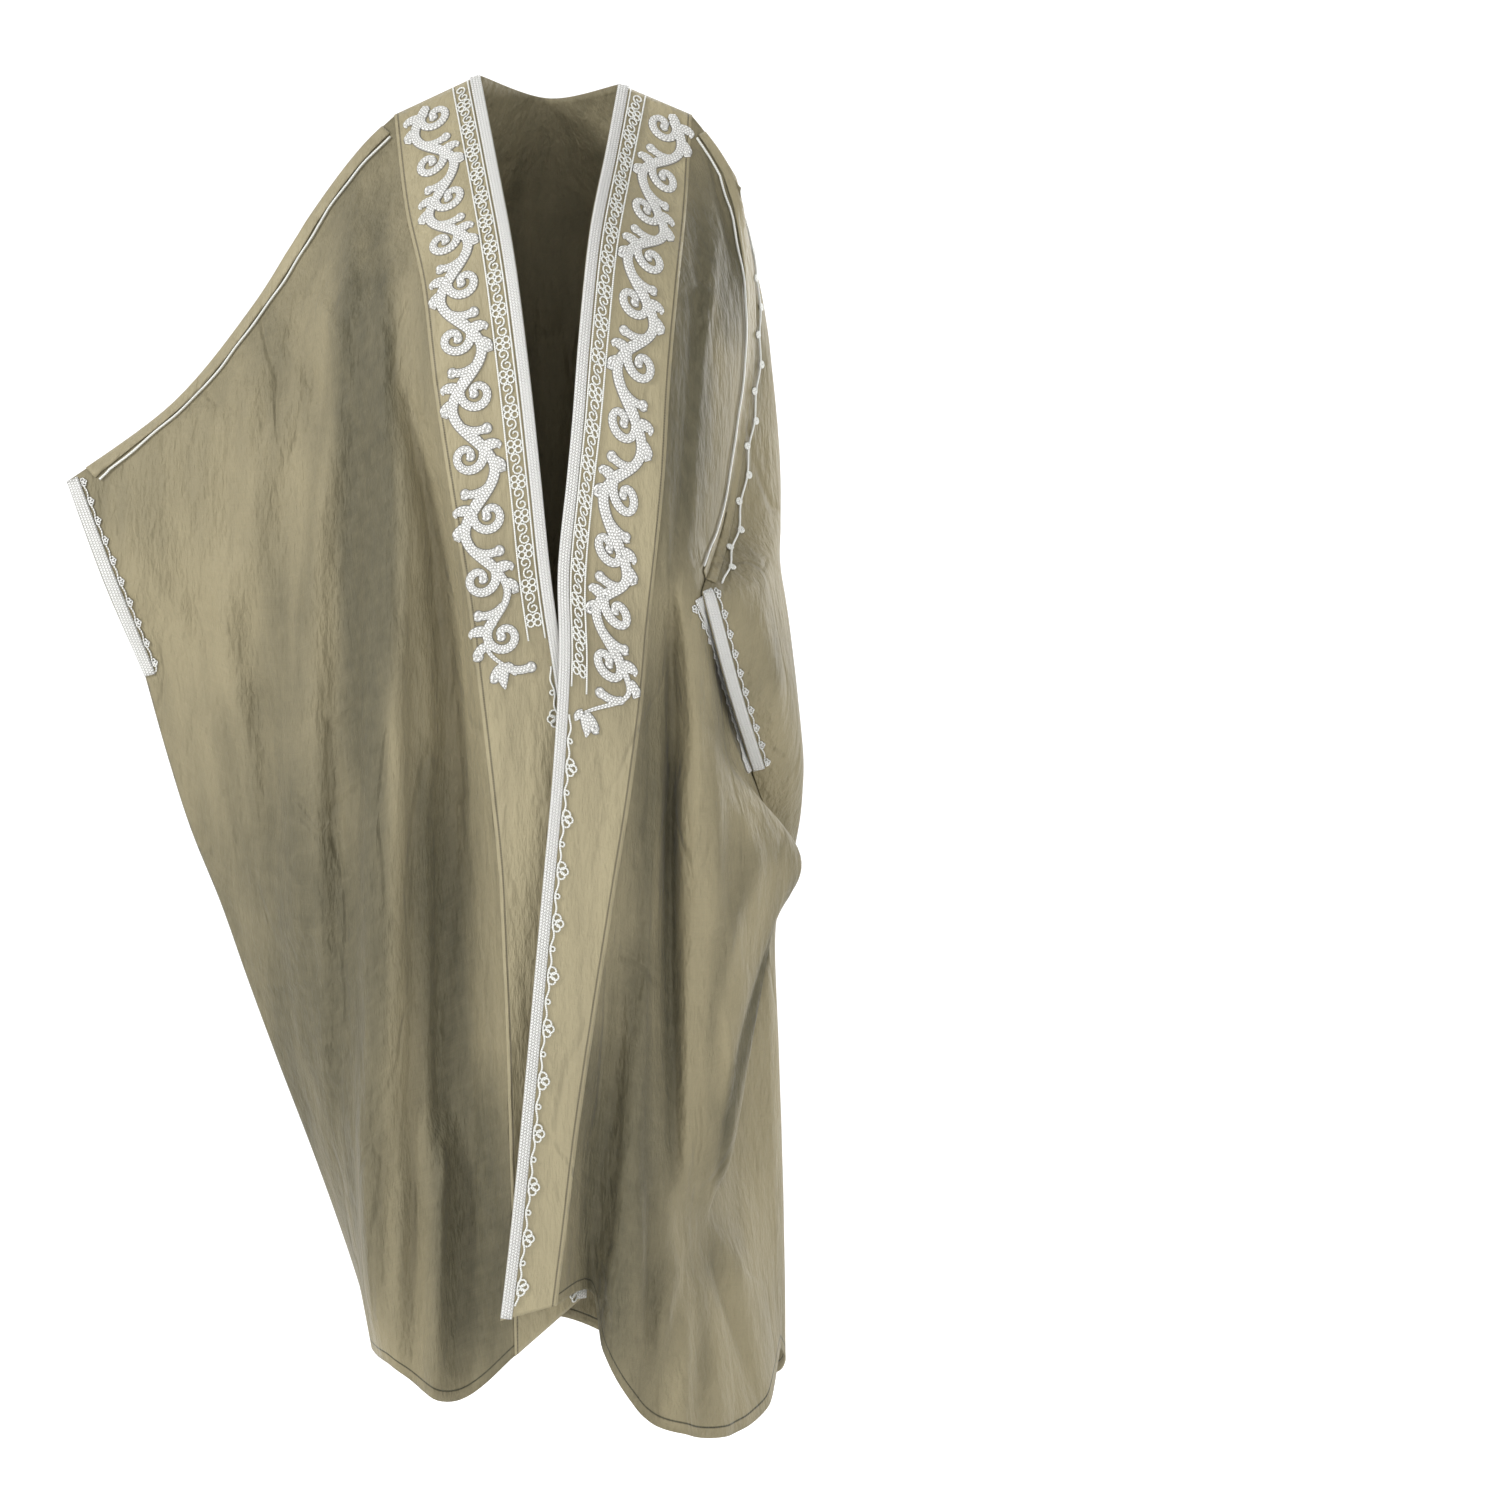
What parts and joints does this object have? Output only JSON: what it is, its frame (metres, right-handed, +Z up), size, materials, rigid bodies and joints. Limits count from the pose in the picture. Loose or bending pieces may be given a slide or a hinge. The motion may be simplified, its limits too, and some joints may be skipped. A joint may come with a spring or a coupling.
{
  "type": "bisht cloak",
  "caption": "Hollow full-length open-front bisht cloak in its worn pose, with faced front edges, raised scroll appliqué, corded sleeve strips and cuff braids.",
  "frame": {"origin": "between the tops of the two shoulders, level with the neck's rear edge, where the cloak hangs from its wearer", "axes": "+Z up, towards the neck; -Y out of the front opening; +X towards the wearer's left sleeve"},
  "size_m": [0.7815, 0.3529, 1.4358],
  "materials": {
    "cloth": "satin",
    "facing": "satin",
    "thread": "satin"
  },
  "bodies": {
    "root": {"front_right": "cloth", "front_left": "cloth", "back": "cloth", "front_band_right": "facing", "front_band_left": "facing", "edge_braid_right": "thread", "edge_braid_left": "thread", "edge_braid_neck": "thread", "lace_band_right": "thread", "lace_band_left": "thread", "scroll_right": "thread", "scroll_left": "thread", "sleeve_strip_right": "facing", "sleeve_strip_left": "facing", "sleeve_cord_front_right": "thread", "sleeve_cord_front_left": "thread", "sleeve_cord_rear_right": "thread", "sleeve_cord_rear_left": "thread", "cuff_braid_front_right": "thread", "cuff_braid_rear_right": "thread", "cuff_braid_front_left": "thread", "cuff_braid_rear_left": "thread"}
  },
  "joints": []
}
